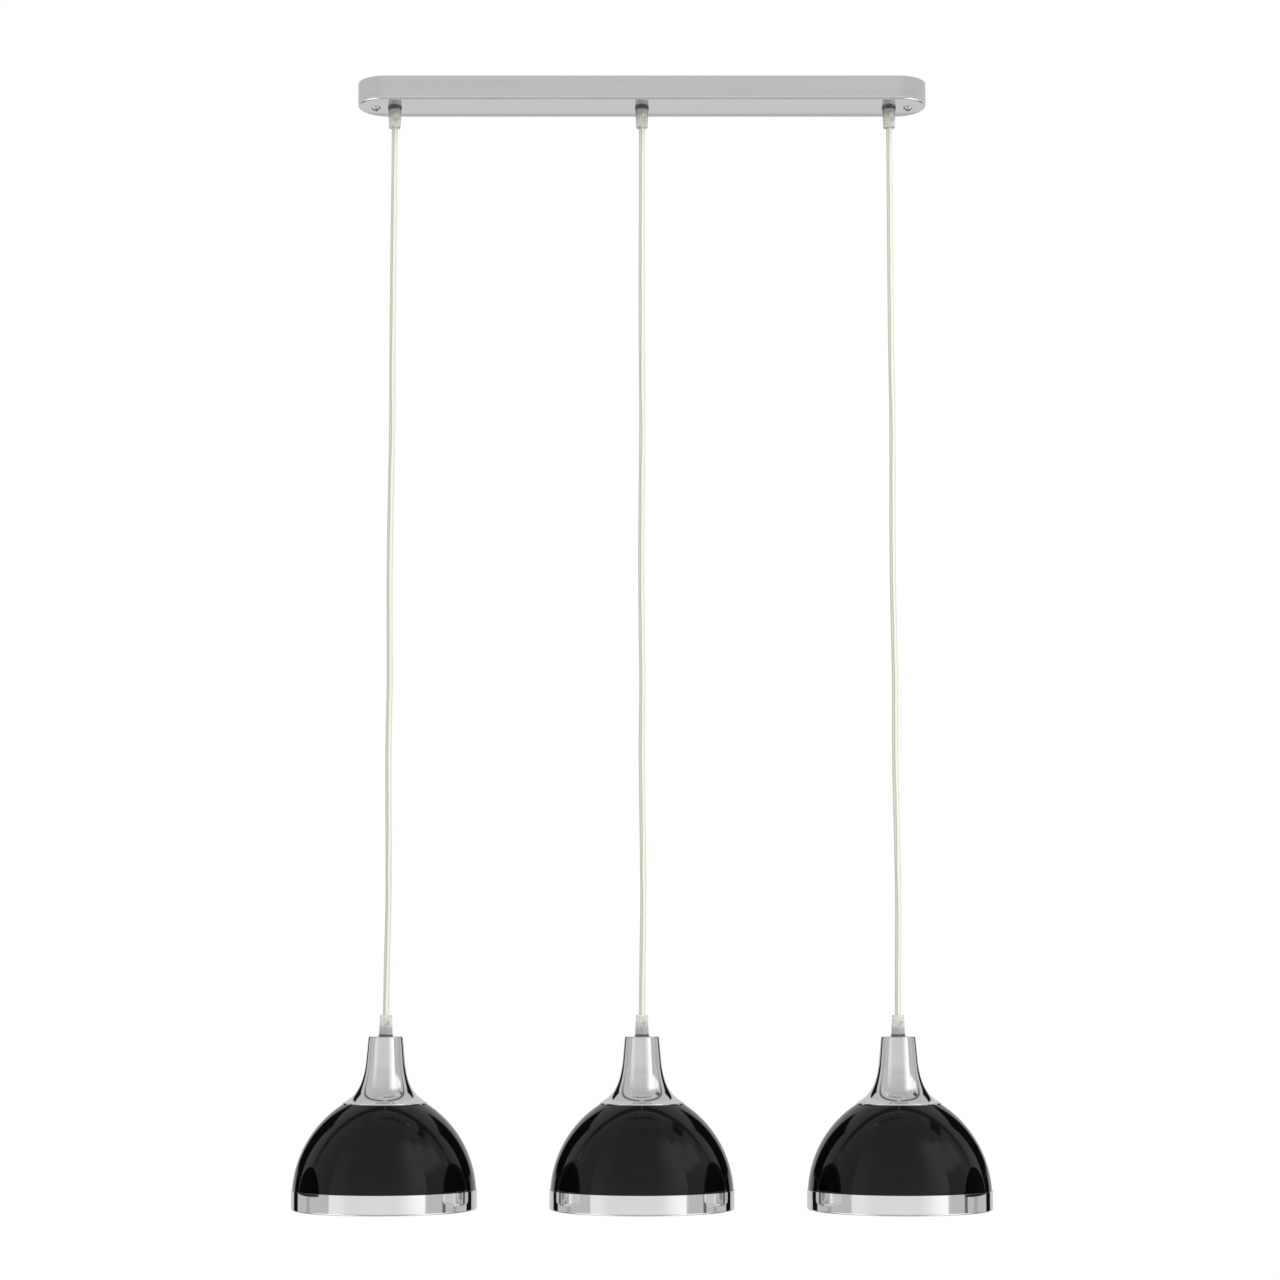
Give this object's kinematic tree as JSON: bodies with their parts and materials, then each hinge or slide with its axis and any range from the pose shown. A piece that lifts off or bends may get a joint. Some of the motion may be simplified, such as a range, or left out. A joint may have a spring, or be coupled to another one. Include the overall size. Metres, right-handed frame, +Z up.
{
  "type": "pendant light",
  "caption": "Bar pendant light: chrome ceiling bar with black dome shades on clear flex, each with a flared chrome neck, a chrome rim band and a small screw lampholder.",
  "frame": {"origin": "middle of the ceiling strap's upper face, which lies against the ceiling", "axes": "+Z up into the ceiling, X along the bar, the pendants hang towards -Z, -Y is the seen front"},
  "size_m": [0.568, 0.15, 0.9392],
  "materials": {
    "chrome_plate": "polished chrome plate",
    "gloss_black": "gloss black paint, pale inside",
    "clear_grip": "clear moulded plastic",
    "clear_flex": "clear sheath over pale cores",
    "zinc_steel": "zinc-plated steel",
    "block_nylon": "natural nylon",
    "brass": "plain brass",
    "live_insulation": "brown insulation",
    "neutral_insulation": "blue insulation",
    "holder_plastic": "pale moulded lampholder plastic"
  },
  "bodies": {
    "canopy": {"canopy_cover": "chrome_plate", "ceiling_strap": "zinc_steel", "strap_pillars": "zinc_steel", "canopy_screws": "chrome_plate", "terminal_block": "block_nylon", "terminal_tubes": "brass", "terminal_screws": "brass", "live_cores": "live_insulation", "neutral_cores": "neutral_insulation", "top_locknuts": "zinc_steel", "top_grip_screws": "clear_grip", "left_top_grip": "clear_grip", "left_flex_tail": "clear_flex", "middle_top_grip": "clear_grip", "middle_flex_tail": "clear_flex", "right_top_grip": "clear_grip", "right_flex_tail": "clear_flex"},
    "left_bend": {"left_cord_bend": "clear_flex"},
    "left_flex": {"left_cord": "clear_flex"},
    "left_pendant": {"left_lower_grip": "clear_grip", "left_lower_grip_screw": "clear_grip", "left_flex_end": "clear_flex", "left_neck": "chrome_plate", "left_dome": "gloss_black", "left_rim_band": "chrome_plate", "left_lampholder_cap": "holder_plastic", "left_lampholder_body": "holder_plastic", "left_screw_shell": "brass", "left_lamp_contacts": "brass", "left_lamp_leads": "live_insulation", "left_shade_ring": "holder_plastic"},
    "middle_bend": {"middle_cord_bend": "clear_flex"},
    "middle_flex": {"middle_cord": "clear_flex"},
    "middle_pendant": {"middle_lower_grip": "clear_grip", "middle_lower_grip_screw": "clear_grip", "middle_flex_end": "clear_flex", "middle_neck": "chrome_plate", "middle_dome": "gloss_black", "middle_rim_band": "chrome_plate", "middle_lampholder_cap": "holder_plastic", "middle_lampholder_body": "holder_plastic", "middle_screw_shell": "brass", "middle_lamp_contacts": "brass", "middle_lamp_leads": "live_insulation", "middle_shade_ring": "holder_plastic"},
    "right_bend": {"right_cord_bend": "clear_flex"},
    "right_flex": {"right_cord": "clear_flex"},
    "right_pendant": {"right_lower_grip": "clear_grip", "right_lower_grip_screw": "clear_grip", "right_flex_end": "clear_flex", "right_neck": "chrome_plate", "right_dome": "gloss_black", "right_rim_band": "chrome_plate", "right_lampholder_cap": "holder_plastic", "right_lampholder_body": "holder_plastic", "right_screw_shell": "brass", "right_lamp_contacts": "brass", "right_lamp_leads": "live_insulation", "right_shade_ring": "holder_plastic"}
  },
  "joints": [
    {"name": "left_swing", "type": "hinge", "parent": "canopy", "child": "left_bend", "pos_m": [-0.209, 0, -0.0365], "axis": [1, 0, 0], "range_deg": [-35, 35]},
    {"name": "left_sway", "type": "hinge", "parent": "left_bend", "child": "left_flex", "pos_m": [-0.209, 0, -0.0605], "axis": [0, 1, 0], "range_deg": [-1.7, 30]},
    {"name": "left_drop", "type": "slide", "parent": "left_flex", "child": "left_pendant", "axis": [0, 0, 1], "range_m": [0, 0.45], "deforming": ["left_cord"]},
    {"name": "middle_swing", "type": "hinge", "parent": "canopy", "child": "middle_bend", "pos_m": [0, 0, -0.0365], "axis": [1, 0, 0], "range_deg": [-35, 35]},
    {"name": "middle_sway", "type": "hinge", "parent": "middle_bend", "child": "middle_flex", "pos_m": [0, 0, -0.0605], "axis": [0, 1, 0], "range_deg": [-1.7, 1.7]},
    {"name": "middle_drop", "type": "slide", "parent": "middle_flex", "child": "middle_pendant", "axis": [0, 0, 1], "range_m": [0, 0.45], "deforming": ["middle_cord"]},
    {"name": "right_swing", "type": "hinge", "parent": "canopy", "child": "right_bend", "pos_m": [0.209, 0, -0.0365], "axis": [1, 0, 0], "range_deg": [-35, 35]},
    {"name": "right_sway", "type": "hinge", "parent": "right_bend", "child": "right_flex", "pos_m": [0.209, 0, -0.0605], "axis": [0, 1, 0], "range_deg": [-30, 1.7]},
    {"name": "right_drop", "type": "slide", "parent": "right_flex", "child": "right_pendant", "axis": [0, 0, 1], "range_m": [0, 0.45], "deforming": ["right_cord"]}
  ]
}
